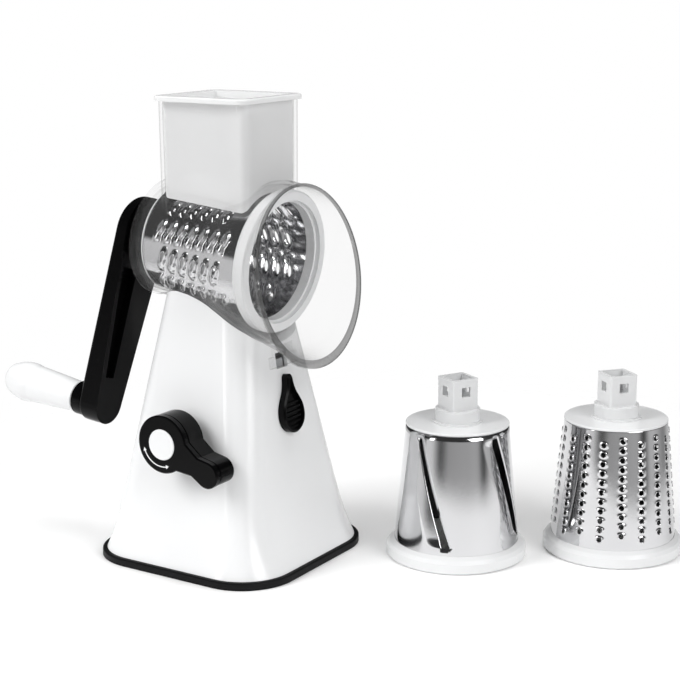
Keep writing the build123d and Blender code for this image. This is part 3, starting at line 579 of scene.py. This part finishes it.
def staggered_sheet(rows, counts, pitch, first, phase, hole, rise, rings, side):
    """Cone wall with rows of punched cells, each odd row shifted by half a pitch."""
    sheet = Sheet()
    half_turn = math.pi / rows
    step = pitch / side
    band_low = first - pitch / 2
    band_high = band_low + counts[0] * pitch
    for row in range(rows):
        odd = row % 2
        middle = phase + row * 2 * half_turn
        start = band_low + odd * pitch / 2
        for i in range(counts[odd]):
            sheet.cell(middle, half_turn, start + i * pitch, pitch, hole, rise, rings, side)
        turns = steps(middle - half_turn, middle + half_turn, side)
        low_rows = steps(CONE_LOW, band_low, LOW_BAND_STEPS)
        if odd:
            low_rows += steps(band_low, start, side // 2)[1:]
        sheet.grid(turns, low_rows)
        high_rows = [start + counts[odd] * pitch]
        # Beside a neighbour's cell the spacing is that of its border, so that their points meet.
        while high_rows[-1] < band_high + pitch / 2 - step / 2:
            high_rows.append(high_rows[-1] + step)
        high_rows += steps(band_high + pitch / 2, CONE_HIGH, HIGH_BAND_STEPS)[1:]
        sheet.grid(turns, high_rows)
    return sheet


def finish_shell(sheet, name, place, body, node, outside, inside):
    """Makes a drum's wall from its sheet: thickness inwards, smooth, placed and riding.

    The wall's inner side takes the second material; for the loose drums that is a darker steel,
    painted shade.
    """
    shell = add_mesh_object(name, sheet.verts, sheet.faces)
    wall = shell.modifiers.new("wall", "SOLIDIFY")
    wall.thickness = SHEET_THICKNESS * MM
    wall.offset = -1.0
    wall.use_even_offset = False
    wall.material_offset = 1
    shell.data.materials.append(outside)
    shell.data.materials.append(inside)
    smooth_by_angle(shell, SHELL_CREASE)
    shell.data.transform(place)
    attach(shell, body)
    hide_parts(node)


def coarse_rise(x, y):
    """Punched tooth: a round scoop at one end and raised lips round its mouth at the other."""
    cos_s, sin_s = math.cos(COARSE_SLANT), math.sin(COARSE_SLANT)
    along, across = x * cos_s + y * sin_s, -x * sin_s + y * cos_s
    ball = math.hypot(along - SCOOP_CENTRE, across) / SCOOP_RADIUS
    scoop = SCOOP_HEIGHT * math.sqrt(max(0.0, 1.0 - ball * ball))
    reach = math.hypot((along - LIP_CENTRE) / LIP_HALF_LONG, across / LIP_HALF_SHORT)
    lip = LIP_HEIGHT * (1.0 - smoothstep((reach - LIP_FALL_START) / LIP_FALL_WIDTH))
    return max(scoop, lip)


def coarse_shell(steel):
    """Wall of the fitted drum with its rows of slanting teeth."""
    hole = ellipse_edge(
        COARSE_HOLE_CENTRE, COARSE_HOLE_HALF_LONG, COARSE_HOLE_HALF_SHORT, COARSE_SLANT
    )
    sheet = staggered_sheet(
        COARSE_ROWS, COARSE_COUNTS, COARSE_PITCH, COARSE_FIRST, COARSE_PHASE, hole, coarse_rise,
        rings=8, side=12,
    )
    finish_shell(
        sheet, "coarse_drum_shell", fitted_matrix(), "crank", "coarse_drum_cone", steel, steel
    )


def fine_rise(x, y):
    """Low burr, highest on one side of the hole."""
    reach = math.hypot(x, y) / FINE_HOLE_RADIUS
    side = BURR_EVEN + BURR_UNEVEN * math.cos(math.atan2(y, x) - BURR_PEAK)
    return BURR_HEIGHT * side * (1.0 - smoothstep((reach - 1.0) / BURR_FALL_WIDTH))


def fine_shell(steel, inside):
    """Wall of the fine drum with its rows of burred holes."""
    hole = ellipse_edge((0.0, 0.0), FINE_HOLE_RADIUS, FINE_HOLE_RADIUS, 0.0)
    sheet = staggered_sheet(
        FINE_ROWS, FINE_COUNTS, FINE_PITCH, FINE_FIRST, FINE_PHASE, hole, fine_rise, rings=5, side=8
    )
    finish_shell(
        sheet, "fine_drum_shell", beside_matrix(FINE_PLACE, FINE_TURN), "fine_drum",
        "fine_drum_cone", steel, inside,
    )


def flank_rise(offset, height):
    """Rise of the wall beside a slot: pressed in up to its left edge, plain on its right."""
    if offset > 0:
        return 0.0
    ends = smoothstep((height - SLOT_LOW) / SLOT_END_FADE)
    ends *= smoothstep((SLOT_HIGH - height) / SLOT_END_FADE)
    near = min(1.0, max(0.0, 1.0 - (-HALF_SLOT - offset) / (HALF_SLOT * FLANK_REACH)))
    return -FLANK_DEPTH * near * ends


def slicer_shell(steel, inside):
    """Wall of the slicer drum: four slanting slots, each with its left flank pressed in."""
    sheet = Sheet()
    middle = (SLOT_LOW + SLOT_HIGH) / 2
    flank = -HALF_SLOT * (1 + FLANK_REACH)
    half_share = math.pi / SLOT_COUNT
    heights = steps(CONE_LOW, SLOT_LOW, count=4)
    heights += steps(SLOT_LOW, SLOT_HIGH, count=60)[1:] + [CONE_HIGH]
    offsets = steps(-half_share, flank, count=10)
    offsets += steps(flank, -HALF_SLOT, count=10)[1:]
    offsets += steps(-HALF_SLOT, HALF_SLOT, count=4)[1:]
    offsets += steps(HALF_SLOT, half_share, count=14)[1:]
    for slot in range(SLOT_COUNT):
        rows = []
        for height in heights:
            level = min(SLOT_HIGH, max(SLOT_LOW, height))
            shift = SLOT_TWIST * (level - middle) / (SLOT_HIGH - SLOT_LOW)
            base = SLOT_PHASE + slot * 2 * half_share + shift
            rows.append([sheet.add(base + o, height, flank_rise(o, height)) for o in offsets])
        for r in range(len(heights) - 1):
            between_ends = SLOT_LOW < (heights[r] + heights[r + 1]) / 2 < SLOT_HIGH
            for i in range(len(offsets) - 1):
                open_here = between_ends and abs(offsets[i] + offsets[i + 1]) / 2 < HALF_SLOT
                if not open_here:
                    low, high = rows[r], rows[r + 1]
                    sheet.faces.append((low[i], low[i + 1], high[i + 1], high[i]))
    finish_shell(
        sheet, "slicer_drum_shell", beside_matrix(SLICER_PLACE, SLICER_TURN), "slicer_drum",
        "slicer_drum_cone", steel, inside,
    )


# ---- latch spring ----
def latch_coil(material):
    """Copy of the latch's spring with its own mesh, riding on the stand in place of the CAD one."""
    coil = add_object("latch_spring_coil", frame["nodes"]["latch_spring"].data.copy())
    coil.data.materials.clear()
    coil.data.materials.append(material)
    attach(coil, "stand")
    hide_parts("latch_spring")
    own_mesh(coil)


# ---- lever print ----
def print_point(radius, turn):
    """Point just in front of the lever's disc, at a radius and turn round its axle."""
    x, y = radius * math.cos(turn), radius * math.sin(turn)
    return Vector((x, -KNOB_FRONT - PRINT_LIFT, AXLE_HEIGHT + y)) * MM


def arc_arrow(material):
    """Double-headed arc printed on the lever's disc, a generic sign for turning it."""
    verts, faces = [], []
    for turn in steps(ARROW_START, ARROW_END, ARROW_STEPS):
        verts.append(print_point(ARROW_RADIUS - ARROW_HALF_WIDTH, turn))
        verts.append(print_point(ARROW_RADIUS + ARROW_HALF_WIDTH, turn))
    for i in range(ARROW_STEPS):
        faces.append((2 * i, 2 * i + 1, 2 * i + 3, 2 * i + 2))
    for turn, sign in ((ARROW_START, -1), (ARROW_END, 1)):
        n = len(verts)
        verts.append(print_point(ARROW_RADIUS - ARROW_HEAD_HALF_WIDTH, turn))
        verts.append(print_point(ARROW_RADIUS + ARROW_HEAD_HALF_WIDTH, turn))
        verts.append(print_point(ARROW_RADIUS, turn + sign * ARROW_HEAD_TURN))
        faces.append((n, n + 1, n + 2))
    arrow = add_mesh_object("turn_arrow", verts, faces)
    arrow.data.materials.append(material)
    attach(arrow, "lever")


add_camera()
add_world()
add_floor()
add_lights()
bpy.context.scene.view_settings.view_transform = "Standard"

materials = make_materials()
dress_cad(materials)
coarse_shell(materials["drum_steel"])
# The loose drums get the darker steel, painted shade, on their inner side.
slicer_shell(materials["drum_steel"], materials["painted_shade_steel"])
fine_shell(materials["drum_steel"], materials["painted_shade_steel"])
latch_coil(materials["spring_steel"])
arc_arrow(materials["white_plastic"])
